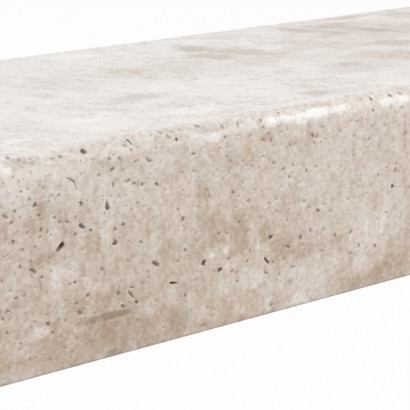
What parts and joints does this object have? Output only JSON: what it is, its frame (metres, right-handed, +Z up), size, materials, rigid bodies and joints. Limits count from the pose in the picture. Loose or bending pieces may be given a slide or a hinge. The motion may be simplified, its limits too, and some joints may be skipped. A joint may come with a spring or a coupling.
{
  "type": "concrete stair tread",
  "caption": "Solid cast concrete block step with a flat walking surface, a rounded front nosing and square back and ends, bedded on mortar to build outdoor stairs.",
  "frame": {"origin": "middle of the bed, the flat underside that sits on mortar", "axes": "+X along the tread's length, +Y from the front face to the back face, +Z up to the walking surface"},
  "size_m": [1, 0.35, 0.15],
  "materials": {
    "cast_concrete": "matte"
  },
  "bodies": {
    "root": {"stair_tread": "cast_concrete"}
  },
  "joints": []
}
